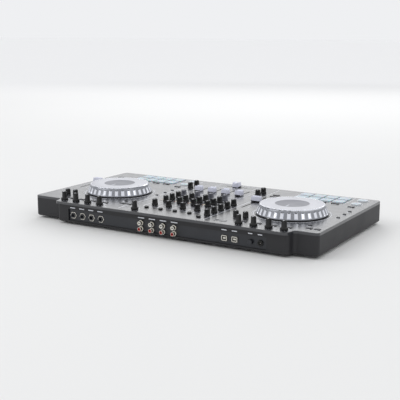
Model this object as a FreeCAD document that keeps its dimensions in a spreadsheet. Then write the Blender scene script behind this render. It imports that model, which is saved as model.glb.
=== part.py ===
import FreeCAD, Part
import os
import Sketcher
from FreeCAD import Placement, Rotation, Vector

# Four-channel DJ controller: a wide flat case with a deck at each end and a mixer between them.
# Row frame: +X to the performer's right, +Y to the rear, +Z up. The origin is on the surface that
# the feet stand on, in the middle of the case. Lengths are in millimetres.

SIZES = (
    ("case_width", 664, "case, left side to right side"),
    ("case_depth", 357, "case, front edge to rear edge of the central overhang"),
    ("corner_y", 152.8, "rear edge of the case outside the overhang"),
    ("overhang_left", 280, "left end of the rear overhang from the middle"),
    ("overhang_right", 254, "right end of the rear overhang from the middle"),
    ("overhang_slant", 6, "sideways run of the overhang's slanted ends"),
    ("foot_height", 5, "rubber feet below the case"),
    ("split_z", 44, "joint between lower case and top panel"),
    ("panel_top", 49.4, "working surface of the top panel"),
    ("wall", 3, "moulded wall"),
    ("plate", 3, "top panel plate"),
    ("socket_recess", 8, "rear wall set in below the overhang"),
    ("corner_round", 8, "vertical edges of the case"),
    ("base_bevel", 2.5, "bevel round the underside"),
    ("edge_bevel", 0.9, "bevel round the working surface"),
    ("seam_bevel", 0.6, "bevel on the lower case at the joint"),
    ("gap", 0.5, "knobs and caps above the panel"),
    ("window_gap", 0.4, "clearance of a button in its window"),
    ("left_jog_x", -224, "left jog wheel centre"),
    ("jog_y", 31.4, "jog wheel centres"),
    ("deck_shift", 419, "left deck to right deck"),
    ("jog_base_radius", 71, "jog rim at its foot"),
    ("jog_top_radius", 64, "jog plate"),
    ("jog_disc_radius", 34, "sunk middle disc of the jog plate"),
    ("jog_height", 21, "jog plate above the panel"),
    ("jog_plate_thick", 2.4, "jog plate"),
    ("jog_hollow_radius", 22, "inner wall of the jog rim"),
    ("jog_post_radius", 8, "bearing post"),
    ("jog_ring_radius", 73, "dark ring that the jog turns over"),
    ("jog_ring_height", 1.2, "dark ring above the panel"),
    ("running_gap", 0.05, "radial clearance of a turning fit"),
    ("shaft_radius", 3, "control shafts"),
    ("fx_pitch", 31, "effect knobs"),
    ("fx_first", -44, "first effect knob from the jog centre"),
    ("fx_y", 160, "effect knobs"),
    ("fx_height", 18, "effect knobs"),
    ("fx_skirt_radius", 7.5, "effect knob skirt"),
    ("fx_top_radius", 4.8, "effect knob grip"),
    ("loop_first", 61, "loop and browse knobs from the jog centre"),
    ("loop_pitch", 21, "loop and browse knobs"),
    ("loop_y", 110, "loop and browse knobs"),
    ("loop_height", 12, "loop and browse knobs"),
    ("loop_radius", 5.8, "loop and browse knobs"),
    ("channel_pitch", 34, "mixer channel strips"),
    ("knob_height", 13, "channel knobs"),
    ("knob_skirt_radius", 6.6, "channel knob skirt"),
    ("knob_top_radius", 5.4, "channel knob grip"),
    ("trim_y", 104, "trim row"),
    ("high_y", 63, "high row"),
    ("eq_pitch", 24, "high, mid and low rows"),
    ("filter_y", -7, "filter row"),
    ("side_x", -90, "column of master and booth knobs"),
    ("side_pitch", 26.5, "column of master and booth knobs"),
    ("side_y", 25, "lowest knob of that column"),
    ("mic_x", 62, "microphone knob"),
    ("mic_y", 160, "microphone knob"),
    ("monitor_x", 86, "headphone and sampler knobs beside the faders"),
    ("monitor_y", -90, "headphone and sampler knobs beside the faders"),
    ("monitor_pitch", 27, "headphone and sampler knobs beside the faders"),
    ("pad_first", -37, "first pad from the jog centre"),
    ("pad_pitch", 28.7, "pads"),
    ("pad_size", 25, "pads"),
    ("pad_y", -153, "front row of pads"),
    ("pad_row_pitch", 31, "pad rows"),
    ("pad_proud", 2, "pads above the panel"),
    ("play_x", -77, "play and cue buttons from the jog centre"),
    ("play_y", -154, "play button"),
    ("cue_y", -115, "cue button"),
    ("play_radius", 10.5, "play and cue buttons"),
    ("button_depth", 6, "buttons, top to underside"),
    ("button_proud", 1.6, "small buttons above the panel"),
    ("tempo_x", 112, "tempo slider from the jog centre"),
    ("tempo_y", -23.6, "middle of the tempo slot"),
    ("tempo_slot", 112, "tempo slot length"),
    ("tempo_cap_y", -33, "tempo cap at rest"),
    ("tempo_cap_width", 20, "tempo cap"),
    ("tempo_cap_depth", 13, "tempo cap"),
    ("fader_y", -84, "middle of the channel fader slots"),
    ("fader_slot", 68, "channel fader slot length"),
    ("fader_cap_y", -70, "channel fader caps at rest"),
    ("fader_cap_width", 14, "fader cap across its slot"),
    ("fader_cap_depth", 17, "fader cap along its slot"),
    ("cap_height", 12, "caps above the panel"),
    ("cross_y", -152, "crossfader"),
    ("cross_slot", 54, "crossfader slot length"),
    ("slot_width", 3.2, "fader slots"),
    ("stem_thick", 1.6, "fader stems across the slot"),
    ("stem_long", 6, "fader stems along the slot"),
    ("stem_reach", 8, "fader stems below the working surface"),
    ("track_width", 11, "fader frames"),
    ("track_height", 10, "fader frames"),
    ("board_z", 31.5, "underside of the circuit boards"),
    ("board_thick", 1.6, "circuit boards"),
    ("pot_size", 10, "rotary control bodies"),
    ("pot_height", 7, "rotary control bodies"),
    ("boss_radius", 4.5, "screw bosses"),
    ("boss_height", 18, "screw bosses above the floor"),
    ("screw_radius", 1.5, "case screws"),
    ("screw_head_radius", 3.2, "case screw heads"),
    ("screw_length", 14, "case screws"),
    ("foot_radius", 12, "rubber feet"),
    ("socket_z", 21, "rear and front sockets"),
    ("window_x", -6, "middle of the rear socket window"),
    ("window_width", 464, "rear socket window"),
    ("window_low", 9.5, "underside of the rear socket window"),
    ("window_height", 24, "rear socket window"),
    ("panel_thick", 2, "socket panels behind their windows"),
    ("front_window", 24, "headphone socket window"),
    ("phono_radius", 4.15, "phono sockets"),
    ("phono_pitch", 26, "phono socket columns"),
    ("phono_rise", 6, "phono rows above and below the socket line"),
    ("jack_radius", 5.5, "jack socket barrels"),
    ("jack_bore", 3.2, "jack socket bores"),
    ("jack_depth", 16, "jack socket bores"),
    ("jack_length", 20, "jack socket barrels"),
    ("headphone_x", -290, "front headphone socket"),
    ("rear_jack_x", 190, "rear jack sockets"),
    ("rear_jack_pitch", 24, "rear jack sockets"),
    ("usb_x", -150, "data sockets"),
    ("usb_pitch", 22, "data sockets"),
    ("power_x", -225, "power inlet"),
    ("power_button_x", -205, "power button"),
    ("power_button_radius", 4.5, "power button"),
)

doc = FreeCAD.newDocument("dj_controller")
sheet = doc.addObject("Spreadsheet::Sheet", "Dim")
sheet.Label = "driving dimensions"
for row, (alias, value, meaning) in enumerate(SIZES, start=1):
    sheet.set(f"A{row}", meaning)
    sheet.set(f"B{row}", str(value))
    sheet.setAlias(f"B{row}", alias)
doc.recompute()

subparts = []
REAR_Y = "(Dim.case_depth / 2)"
WALL_Y = f"({REAR_Y} - Dim.socket_recess)"
PANEL_Y = f"({WALL_Y} - Dim.wall)"
FLOOR_Z = "(Dim.foot_height + Dim.wall)"
PLATE_Z = "(Dim.panel_top - Dim.plate)"
JOG_X = {"left": "Dim.left_jog_x", "right": "(Dim.left_jog_x + Dim.deck_shift)"}
CHANNELS = {number: f"({number - 2.5} * Dim.channel_pitch)" for number in (1, 2, 3, 4)}


def value_of(expression):
    """The number that an expression on the sheet gives now."""
    return float(sheet.evalExpression(str(expression)))


def bind(item, **expressions):
    """Bind properties to the sheet."""
    for prop, expression in expressions.items():
        item.setExpression(prop, str(expression))


def put(item, x=0, y=0, z=0):
    """Bind an object's place to the sheet."""
    for letter, expression in (("x", x), ("y", y), ("z", z)):
        item.setExpression(f"Placement.Base.{letter}", str(expression))


def keep(item, label):
    """Name a finished sub-part."""
    item.Label = label
    subparts.append(item)


# ---- solids from primitives -------------------------------------------------------------

def block(name, length, width, height, x, y, z):
    """A box centred on x and y, standing on z."""
    item = doc.addObject("Part::Box", name)
    bind(item, Length=length, Width=width, Height=height)
    put(item, f"{x} - ({length}) / 2", f"{y} - ({width}) / 2", z)
    return item


def post(name, radius, height, x, y, z):
    """An upright cylinder standing on z."""
    item = doc.addObject("Part::Cylinder", name)
    bind(item, Radius=radius, Height=height)
    put(item, x, y, z)
    return item


def barrel(name, radius, length, x, y, z):
    """A cylinder along Y that starts at y and runs to the rear."""
    item = doc.addObject("Part::Cylinder", name)
    item.Placement = Placement(Vector(), Rotation(Vector(1, 0, 0), -90))
    bind(item, Radius=radius, Height=length)
    put(item, x, y, z)
    return item


def compound(name, members):
    item = doc.addObject("Part::Compound", name)
    item.Links = members
    return item


def fused(name, members):
    item = doc.addObject("Part::MultiFuse", name)
    item.Shapes = members
    return item


def cut(name, base, tool):
    item = doc.addObject("Part::Cut", name)
    item.Base = base
    item.Tool = tool
    return item


# ---- sketches and PartDesign bodies -----------------------------------------------------

def new_body(name, x=0, y=0, z=0):
    body = doc.addObject("PartDesign::Body", name)
    put(body, x, y, z)
    return body


def sketch_on(body, role, name, offset=0):
    """A sketch on one of the body's own planes, lifted along the plane's normal."""
    plane = next(item for item in body.Origin.OriginFeatures if item.Role == role)
    sketch = body.newObject("Sketcher::SketchObject", name)
    sketch.AttachmentSupport = [(plane, "")]
    sketch.MapMode = "FlatFace"
    sketch.setExpression("AttachmentOffset.Base.z", str(offset))
    return sketch


def fix_point(sketch, geometry, position, x, y):
    """Hold a point of the sketch at x and y, which are expressions on the sheet."""
    for kind, expression, axis in (("DistanceX", x, -2), ("DistanceY", y, -1)):
        number = value_of(expression)
        if abs(number) < 1e-9:
            sketch.addConstraint(Sketcher.Constraint("PointOnObject", geometry, position, axis))
            continue
        rule = Sketcher.Constraint(kind, -1, 1, geometry, position, number)
        index = sketch.addConstraint(rule)
        sketch.setExpression(f"Constraints[{index}]", str(expression))


def polygon(sketch, corners):
    """A closed outline of straight lines through corners given as expressions."""
    points = [Vector(value_of(x), value_of(y), 0) for x, y in corners]
    count = len(points)
    first = sketch.GeometryCount
    for index in range(count):
        sketch.addGeometry(Part.LineSegment(points[index], points[(index + 1) % count]))
    for index in range(count):
        following = first + (index + 1) % count
        sketch.addConstraint(Sketcher.Constraint("Coincident", first + index, 2, following, 1))
    for index, (x, y) in enumerate(corners):
        fix_point(sketch, first + index, 1, x, y)


def circle(sketch, radius, x, y):
    centre = Vector(value_of(x), value_of(y), 0)
    index = sketch.addGeometry(Part.Circle(centre, Vector(0, 0, 1), value_of(radius)))
    fix_point(sketch, index, 3, x, y)
    rule = sketch.addConstraint(Sketcher.Constraint("Radius", index, value_of(radius)))
    sketch.setExpression(f"Constraints[{rule}]", str(radius))


def rectangle(sketch, width, height, x, y):
    """A rectangle centred on x and y."""
    corners = []
    for side, end in ((-1, -1), (1, -1), (1, 1), (-1, 1)):
        corners.append((f"{x} + {side} * ({width}) / 2", f"{y} + {end} * ({height}) / 2"))
    polygon(sketch, corners)


def pad(body, sketch, length, name):
    feature = body.newObject("PartDesign::Pad", name)
    feature.Profile = sketch
    bind(feature, Length=length)
    body.Tip = feature
    return feature


def pocket(body, sketch, length, name, reverse=False):
    """A pocket that must take material away."""
    doc.recompute()
    before = body.Shape.Volume
    feature = body.newObject("PartDesign::Pocket", name)
    feature.Profile = sketch
    feature.Reversed = reverse
    bind(feature, Length=length)
    body.Tip = feature
    doc.recompute()
    if body.Shape.Volume > before - 1e-6:
        raise RuntimeError(f"{name} cuts nothing")
    return feature


def turned(body, profile, name):
    """A solid of revolution about the body's upright axis, from radius and height pairs."""
    sketch = sketch_on(body, "XZ_Plane", f"{name}_profile")
    polygon(sketch, profile)
    feature = body.newObject("PartDesign::Revolution", name)
    feature.Profile = sketch
    feature.ReferenceAxis = (sketch, ["V_Axis"])
    feature.Angle = 360
    body.Tip = feature
    return feature


def round_upright_edges(body, name):
    """Fillet the corners of the case outline."""
    doc.recompute()
    base = body.Tip
    names = []
    for index, edge in enumerate(base.Shape.Edges, start=1):
        low, high = edge.Vertexes[0].Point, edge.Vertexes[-1].Point
        if abs(low.z - high.z) > 1 and abs(low.x - high.x) + abs(low.y - high.y) < 1e-6:
            names.append(f"Edge{index}")
    feature = body.newObject("PartDesign::Fillet", name)
    feature.Base = (base, names)
    bind(feature, Radius="Dim.corner_round")
    body.Tip = feature


def bevel_rim(body, name, height, size):
    """Chamfer the whole outline at one height of a plain block."""
    doc.recompute()
    base = body.Tip
    level = value_of(height)
    names = []
    for index, edge in enumerate(base.Shape.Edges, start=1):
        if all(abs(corner.Point.z - level) < 1e-6 for corner in edge.Vertexes):
            names.append(f"Edge{index}")
    feature = body.newObject("PartDesign::Chamfer", name)
    feature.Base = (base, names)
    bind(feature, Size=size)
    body.Tip = feature


def case_outline(sketch, inset, rear):
    """The case seen from above: a wide rectangle with an overhang in the middle of its rear."""
    side = f"(Dim.case_width / 2 - {inset})"
    front = f"(-Dim.case_depth / 2 + {inset})"
    corner = f"(Dim.corner_y - {inset})"
    left = f"(-Dim.overhang_left + {inset})"
    right = f"(Dim.overhang_right - {inset})"
    back = f"({rear} - {inset})"
    polygon(sketch, (
        (f"-{side}", front), (side, front), (side, corner), (f"{right} + Dim.overhang_slant", corner),
        (right, back), (left, back), (f"{left} - Dim.overhang_slant", corner), (f"-{side}", corner)))


# ---- case -------------------------------------------------------------------------------

SCREW_PLACES = [(x, y) for x, y in (
    ("Dim.case_width / 2 - 14", "-Dim.case_depth / 2 + 14"),
    ("-Dim.case_width / 2 + 14", "-Dim.case_depth / 2 + 14"),
    ("Dim.case_width / 2 - 14", "Dim.corner_y - 14"),
    ("-Dim.case_width / 2 + 14", "Dim.corner_y - 14"),
    ("105", "-Dim.case_depth / 2 + 14"), ("-105", "-Dim.case_depth / 2 + 14"),
    ("105", f"{WALL_Y} - 14"), ("-105", f"{WALL_Y} - 14"))]
STANDOFF_PLACES = [(x, y) for x in ("-300", "-108", "-70", "70", "108", "300") for y in ("-130", "125")]
FOOT_PLACES = [(x, y) for x in ("-285", "0", "285") for y in ("-145", "118")]
PHONO_PLACES = [(f"({column - 1.5} * Dim.phono_pitch)", f"(Dim.socket_z + {side} * Dim.phono_rise)")
                for column in range(4) for side in (-1, 1)]
REAR_JACKS = [f"(Dim.rear_jack_x + {step} * Dim.rear_jack_pitch)" for step in (-2, -1, 0, 1)]
USB_PLACES = [f"(Dim.usb_x + {step} * Dim.usb_pitch)" for step in (-1, 0)]


def lower_case():
    """Moulded tray with screw bosses, board standoffs and windows for its sockets."""
    body = new_body("lower_case", z="Dim.foot_height")
    outline = sketch_on(body, "XY_Plane", "case_outline")
    case_outline(outline, "0", WALL_Y)
    pad(body, outline, "Dim.split_z - Dim.foot_height", "case_block")
    round_upright_edges(body, "case_corners")
    bevel_rim(body, "case_bevel", "0", "Dim.base_bevel")
    bevel_rim(body, "case_seam", "Dim.split_z - Dim.foot_height", "Dim.seam_bevel")
    hollow = sketch_on(body, "XY_Plane", "case_hollow", "Dim.wall")
    case_outline(hollow, "Dim.wall", WALL_Y)
    pocket(body, hollow, "Dim.split_z", "case_cavity", reverse=True)
    bosses = sketch_on(body, "XY_Plane", "boss_plan", "Dim.wall / 2")
    for x, y in SCREW_PLACES:
        circle(bosses, "Dim.boss_radius", x, y)
    pad(body, bosses, "Dim.boss_height + Dim.wall / 2", "screw_bosses")
    standoffs = sketch_on(body, "XY_Plane", "standoff_plan", "Dim.wall / 2")
    for x, y in STANDOFF_PLACES:
        circle(standoffs, "Dim.shaft_radius", x, y)
    pad(body, standoffs, f"Dim.board_z - {FLOOR_Z} + Dim.wall / 2", "board_standoffs")
    heads = sketch_on(body, "XY_Plane", "screw_head_plan")
    shanks = sketch_on(body, "XY_Plane", "screw_shank_plan")
    for x, y in SCREW_PLACES:
        circle(heads, "Dim.screw_head_radius + 0.3", x, y)
        circle(shanks, "Dim.screw_radius + 0.1", x, y)
    pocket(body, heads, "Dim.wall", "screw_head_seats", reverse=True)
    pocket(body, shanks, "Dim.wall + Dim.screw_length", "screw_holes", reverse=True)
    rear = sketch_on(body, "XZ_Plane", "rear_window_plan")
    low = "- Dim.foot_height"
    rectangle(rear, "Dim.window_width", "Dim.window_height", "Dim.window_x",
              f"(Dim.window_low + Dim.window_height / 2 {low})")
    pocket(body, rear, "Dim.case_depth", "rear_window")
    front = sketch_on(body, "XZ_Plane", "front_window_plan")
    rectangle(front, "Dim.front_window", "18", "Dim.headphone_x", f"(Dim.socket_z {low})")
    pocket(body, front, "Dim.case_depth", "front_window", reverse=True)
    keep(body, "lower_case")


def panel_blank():
    """The top panel before its openings: a plate with a shallow skirt."""
    body = new_body("panel_blank", z="Dim.split_z")
    outline = sketch_on(body, "XY_Plane", "panel_outline")
    case_outline(outline, "0", REAR_Y)
    pad(body, outline, "Dim.panel_top - Dim.split_z", "panel_block")
    round_upright_edges(body, "panel_corners")
    bevel_rim(body, "panel_edge", "Dim.panel_top - Dim.split_z", "Dim.edge_bevel")
    hollow = sketch_on(body, "XY_Plane", "panel_hollow")
    case_outline(hollow, "Dim.wall", WALL_Y)
    pocket(body, hollow, f"{PLATE_Z} - Dim.split_z", "panel_underside", reverse=True)
    return body


def through(name, kind, *sizes):
    """A cutter that passes through the plate, as a post or a block."""
    height = "Dim.plate + 4"
    low = f"({PLATE_Z} - 2)"
    if kind == "round":
        radius, x, y = sizes
        return post(name, radius, height, x, y, low)
    length, width, x, y = sizes
    return block(name, length, width, height, x, y, low)


def top_panel(openings):
    """Top panel: the blank less every opening for shafts, faders, pads and buttons."""
    keep(cut("top_panel", panel_blank(), compound("panel_openings", openings)), "top_panel")


def rubber_feet():
    feet = [post("foot", "Dim.foot_radius", "Dim.foot_height", x, y, 0) for x, y in FOOT_PLACES]
    keep(compound("rubber_feet", feet), "rubber_feet")


def case_screws():
    """Screws driven up into the bosses, with heads sunk in the underside."""
    screws = []
    for x, y in SCREW_PLACES:
        head = post("screw_head", "Dim.screw_head_radius", "Dim.wall - 0.5", x, y, "Dim.foot_height + 0.5")
        shank = post("screw_shank", "Dim.screw_radius", "Dim.screw_length - 1", x, y, FLOOR_Z)
        socket = post("screw_drive", "Dim.screw_radius", "1.2", x, y, "Dim.foot_height + 0.5")
        screws.append(cut("case_screw", fused("screw_blank", [head, shank]), socket))
    keep(compound("case_screws", screws), "case_screws")


# ---- sockets ----------------------------------------------------------------------------

def phono_socket(x, z):
    outer = barrel("phono_barrel", "Dim.phono_radius", "Dim.socket_recess + 12", x, f"{WALL_Y} - 12", z)
    collar = barrel("phono_collar", "Dim.phono_radius + 1.2", "Dim.wall + 1.4", x, PANEL_Y, z)
    return fused("phono_socket", [outer, collar])


def usb_socket(x):
    """Square data socket with its tongue."""
    shell = block("usb_shell", "12", "16", "10.5", x, f"({WALL_Y} - 8)", "Dim.socket_z - 5.25")
    mouth = block("usb_mouth", "8.5", "12", "7.8", x, f"({WALL_Y} - 6)", "Dim.socket_z - 3.9")
    tongue = block("usb_tongue", "5.6", "15", "3.2", x, f"({WALL_Y} - 8.5)", "Dim.socket_z - 1.6")
    return fused("usb_socket", [cut("usb_case", shell, mouth), tongue])


def power_inlet():
    """Round low-voltage inlet with its centre pin."""
    outer = barrel("inlet_barrel", "Dim.jack_radius", "14", "Dim.power_x", f"{WALL_Y} - 14", "Dim.socket_z")
    well = barrel("inlet_well", "2.8", "10", "Dim.power_x", f"{WALL_Y} - 10", "Dim.socket_z")
    pin = barrel("inlet_pin", "1", "12", "Dim.power_x", f"{WALL_Y} - 12.5", "Dim.socket_z")
    return fused("power_inlet", [cut("inlet_case", outer, well), pin])


def rear_sockets():
    members = [phono_socket(x, z) for x, z in PHONO_PLACES]
    members += [usb_socket(x) for x in USB_PLACES]
    members.append(power_inlet())
    keep(compound("rear_sockets", members), "rear_sockets")


def jack(name, x, outer_y, bore_y):
    """The barrel of a quarter-inch jack socket, and the cutter for its bore."""
    outer = barrel(f"{name}_barrel", "Dim.jack_radius", "Dim.jack_length", x, outer_y, "Dim.socket_z")
    bore = barrel(f"{name}_bore", "Dim.jack_bore", "Dim.jack_depth", x, bore_y, "Dim.socket_z")
    return outer, bore


def rear_panel_openings():
    """Cutters for the phono and data sockets, the power inlet and the power button."""
    back = f"({PANEL_Y} - Dim.panel_thick - 1)"
    length = "Dim.panel_thick + 2"
    cutters = [barrel("phono_opening", "Dim.phono_radius + 0.3", length, x, back, z)
               for x, z in PHONO_PLACES]
    middle = f"({PANEL_Y} - Dim.panel_thick / 2)"
    cutters += [block("usb_opening", "12.4", length, "11", x, middle, "Dim.socket_z - 5.5")
                for x in USB_PLACES]
    cutters.append(barrel("inlet_opening", "Dim.jack_radius + 0.3", length, "Dim.power_x", back,
                          "Dim.socket_z"))
    cutters.append(barrel("button_opening", "Dim.power_button_radius + 0.4", length,
                          "Dim.power_button_x", back, "Dim.socket_z"))
    return cutters


def socket_panels():
    """Panels behind the rear and front windows, moulded in one with their jack sockets."""
    plate = block("rear_plate", "Dim.window_width + 12", "Dim.panel_thick", "Dim.window_height + 5",
                  "Dim.window_x", f"({PANEL_Y} - Dim.panel_thick / 2)", FLOOR_Z)
    jacks = [jack("jack", x, f"{WALL_Y} - Dim.jack_length", f"{WALL_Y} - Dim.jack_depth")
             for x in REAR_JACKS]
    solid = fused("rear_panel_shape", [plate] + [outer for outer, bore in jacks])
    cutters = compound("rear_panel_cutters", rear_panel_openings() + [bore for outer, bore in jacks])
    rear = cut("rear_panel", solid, cutters)
    face = "-Dim.case_depth / 2"
    plate = block("front_plate", "Dim.front_window + 8", "Dim.panel_thick", "Dim.front_window",
                  "Dim.headphone_x", f"({face} + Dim.wall + Dim.panel_thick / 2)", FLOOR_Z)
    outer, bore = jack("headphone", "Dim.headphone_x", face, face)
    front = cut("front_panel", fused("front_panel_shape", [plate, outer]), bore)
    keep(compound("socket_panels", [rear, front]), "socket_panels")


def power_button():
    """Push button beside the power inlet."""
    body = new_body("power_button", "Dim.power_button_x", f"{WALL_Y} - 7", "Dim.socket_z")
    face = sketch_on(body, "XZ_Plane", "power_button_face")
    circle(face, "Dim.power_button_radius", "0", "0")
    stem = pad(body, face, "10", "power_button_stem")
    stem.Reversed = True
    keep(body, "power_button")


# ---- inside the case --------------------------------------------------------------------

def circuit_boards():
    """A board under each deck, holed for its jog bearing, and one under the mixer."""
    height, low = "Dim.board_thick", "Dim.board_z"
    boards = [block("mixer_board", "176", "312", height, "0", "7", low)]
    for side, x in (("left", "-206"), ("right", "206")):
        board = block(f"{side}_board", "224", "294", height, x, "-2", low)
        tongue_x = f"({JOG_X[side]} + Dim.fx_first + 1.5 * Dim.fx_pitch)"
        tongue = block(f"{side}_board_tongue", "3 * Dim.fx_pitch + 13", "28", height, tongue_x, "150", low)
        hole = post(f"{side}_board_hole", "Dim.jog_post_radius + 1", "6", JOG_X[side], "Dim.jog_y",
                    f"{low} - 2")
        boards.append(cut(f"{side}_deck_board", fused(f"{side}_board_shape", [board, tongue]), hole))
    keep(compound("circuit_boards", boards), "circuit_boards")


def rotary_pots(places):
    """The rotary controls on the boards, each with a shaft up into its knob."""
    low = "(Dim.board_z + Dim.board_thick)"
    members = []
    for x, y, height in places:
        body = block("pot_body", "Dim.pot_size", "Dim.pot_size", "Dim.pot_height", x, y, low)
        reach = f"Dim.panel_top + {height} - 4 - {low}"
        members.append(fused("rotary_pot", [body, post("pot_shaft", "Dim.shaft_radius", reach, x, y, low)]))
    keep(compound("rotary_pots", members), "rotary_pots")


def fader_tracks(slots):
    """The frames that guide the fader stems, hung under the plate."""
    members = []
    for length, width, x, y in slots:
        along_x = value_of(length) > value_of(width)
        outer_x = f"{length} + 8" if along_x else "Dim.track_width"
        outer_y = "Dim.track_width" if along_x else f"{width} + 8"
        low = f"{PLATE_Z} - Dim.track_height"
        frame = block("track_frame", outer_x, outer_y, "Dim.track_height", x, y, low)
        channel = block("track_channel", length, width, "Dim.track_height", x, y, f"{low} + 2")
        members.append(cut("fader_track", frame, channel))
    keep(compound("fader_tracks", members), "fader_tracks")


def jog_bearings():
    """Bearing posts on the floor, and the dark rings that the jog wheels turn over."""
    members = []
    for x in JOG_X.values():
        reach = f"Dim.panel_top + Dim.jog_height - Dim.jog_plate_thick - 1 - {FLOOR_Z}"
        members.append(post("jog_post", "Dim.jog_post_radius", reach, x, "Dim.jog_y", FLOOR_Z))
        ring = post("ring_disc", "Dim.jog_ring_radius", "Dim.jog_ring_height", x, "Dim.jog_y",
                    "Dim.panel_top")
        hole = post("ring_hole", "Dim.jog_hollow_radius", "6", x, "Dim.jog_y", "Dim.panel_top - 2")
        members.append(cut("jog_ring", ring, hole))
    keep(compound("jog_bearings", members), "jog_bearings")


# ---- decks and mixer --------------------------------------------------------------------

def jog_wheel(side):
    """Sloping rim, and the plate with its hub on the bearing post."""
    place = (JOG_X[side], "Dim.jog_y", "Dim.panel_top")
    seat = "(Dim.jog_height - Dim.jog_plate_thick)"
    foot = "(Dim.jog_ring_height + Dim.gap)"
    rim = new_body(f"jog_rim_{side}", *place)
    turned(rim, (
        ("Dim.jog_hollow_radius", foot), ("Dim.jog_base_radius", foot),
        ("Dim.jog_base_radius", f"{foot} + 2"), ("Dim.jog_top_radius + 1.6", f"{seat} - 2.4"),
        ("Dim.jog_top_radius + 0.4", seat), ("Dim.jog_hollow_radius", seat)), f"rim_{side}")
    keep(rim, f"jog_rim_{side}")
    plate = new_body(f"jog_plate_{side}", *place)
    bore = "Dim.jog_post_radius + Dim.running_gap"
    top = "Dim.jog_height"
    turned(plate, (
        (bore, "4"), ("Dim.jog_post_radius + 6", "4"), ("Dim.jog_post_radius + 6", seat),
        ("Dim.jog_top_radius", seat), ("Dim.jog_top_radius", f"{top} - 1"),
        ("Dim.jog_top_radius - 1.2", top), ("Dim.jog_disc_radius", top),
        ("Dim.jog_disc_radius", f"{top} - 0.6"), ("0", f"{top} - 0.6"), ("0", f"{seat} - 0.4"),
        (bore, f"{seat} - 0.4")), f"plate_{side}")
    mark = sketch_on(plate, "XY_Plane", f"mark_{side}", f"{top} - 0.6")
    rectangle(mark, "2.4", "16", "0", "22")
    pocket(plate, mark, "0.5", f"plate_mark_{side}")
    keep(plate, f"jog_plate_{side}")


def knob(label, x, y, height, skirt_radius, top_radius, skirt_height):
    """A knob with a skirt, a tapering grip, a bore on its shaft and a pointer groove."""
    body = new_body(label, x, y, "Dim.panel_top")
    bore = "Dim.shaft_radius + Dim.running_gap"
    deep = f"{height} - 3.6"
    turned(body, (
        (bore, "Dim.gap"), (skirt_radius, "Dim.gap"), (skirt_radius, skirt_height),
        (f"{top_radius} + 0.5", f"{skirt_height} + 1.2"), (top_radius, f"{height} - 0.8"),
        (f"{top_radius} - 0.8", height), ("0", height), ("0", deep), (bore, deep)), f"{label}_turned")
    groove = sketch_on(body, "XY_Plane", f"{label}_groove", height)
    rectangle(groove, "1.2", f"{top_radius} - 1", "0", f"({top_radius} / 2)")
    pocket(body, groove, "0.5", f"{label}_pointer")
    return body


def fader_cap(label, x, y, width, depth, turn=0):
    """A ridged cap with a finger valley, on a stem that goes down through its slot."""
    body = new_body(label, x, y, "Dim.panel_top")
    body.Placement = Placement(body.Placement.Base, Rotation(Vector(0, 0, 1), turn))
    put(body, x, y, "Dim.panel_top")
    side = sketch_on(body, "YZ_Plane", f"{label}_side")
    half = f"({depth} / 2)"
    top = "Dim.cap_height"
    polygon(side, (
        (f"-{half}", "Dim.gap"), (half, "Dim.gap"), (half, "3"), (f"{half} - 1.8", top),
        (f"{half} - 3", top), ("1", f"{top} - 2.6"), ("-1", f"{top} - 2.6"),
        (f"-{half} + 3", top), (f"-{half} + 1.8", top), (f"-{half}", "3")))
    cap = pad(body, side, width, f"{label}_cap")
    cap.SideType = "Symmetric"
    stem = sketch_on(body, "XY_Plane", f"{label}_stem_plan", "-Dim.stem_reach")
    rectangle(stem, "Dim.stem_thick", "Dim.stem_long", "0", "0")
    pad(body, stem, "Dim.stem_reach + 2", f"{label}_stem")
    keep(body, label)


def round_button(name, radius, x, y, proud):
    low = f"Dim.panel_top + {proud} - Dim.button_depth"
    return post(name, radius, "Dim.button_depth", x, y, low)


def square_button(name, length, width, x, y, proud):
    low = f"Dim.panel_top + {proud} - Dim.button_depth"
    return block(name, length, width, "Dim.button_depth", x, y, low)


def button_places(side):
    """Round and square buttons of a deck: radius or length and width, then x and y."""
    jog = JOG_X[side]
    rounds = [("3.4", f"{jog} - 91", y) for y in ("19", "-13", "-42")]
    rounds.append(("4", f"{jog} - 70", "104"))
    squares = []
    for step in range(4):
        mode_x = f"{jog} + Dim.pad_first + {step} * Dim.pad_pitch"
        squares.append(("16", "6", mode_x, "-99"))
    for y in ("-96", "-112"):
        squares.append(("13", "8", f"{jog} + Dim.tempo_x - 8", y))
    squares.append(("13", "7", f"{jog} + Dim.play_x", "-85"))
    for x in ("-94", "-78"):
        squares.append(("11", "7", f"{jog} {x}", "126"))
    for step in range(4):
        effect_x = f"{jog} + Dim.fx_first + {step} * Dim.fx_pitch"
        squares.append(("12", "6", effect_x, "140"))
    return rounds, squares


def windows(name, rounds, squares):
    """Openings in the plate round a set of buttons."""
    grow = "Dim.window_gap"
    made = [through(name, "round", f"{r} + {grow}", x, y) for r, x, y in rounds]
    made += [through(name, "square", f"{a} + 2 * {grow}", f"{b} + 2 * {grow}", x, y)
             for a, b, x, y in squares]
    return made


def button_set(label, rounds, squares, proud):
    """One node of buttons that share a plate of switches. Returns its windows."""
    members = [round_button("round_cap", r, x, y, proud) for r, x, y in rounds]
    members += [square_button("square_cap", a, b, x, y, proud) for a, b, x, y in squares]
    keep(compound(label, members), label)
    return windows(f"{label}_window", rounds, squares)


def pad_places(side):
    places = []
    for row in range(2):
        for column in range(4):
            x = f"{JOG_X[side]} + Dim.pad_first + {column} * Dim.pad_pitch"
            places.append(("Dim.pad_size", "Dim.pad_size", x, f"Dim.pad_y + {row} * Dim.pad_row_pitch"))
    return places


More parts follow.
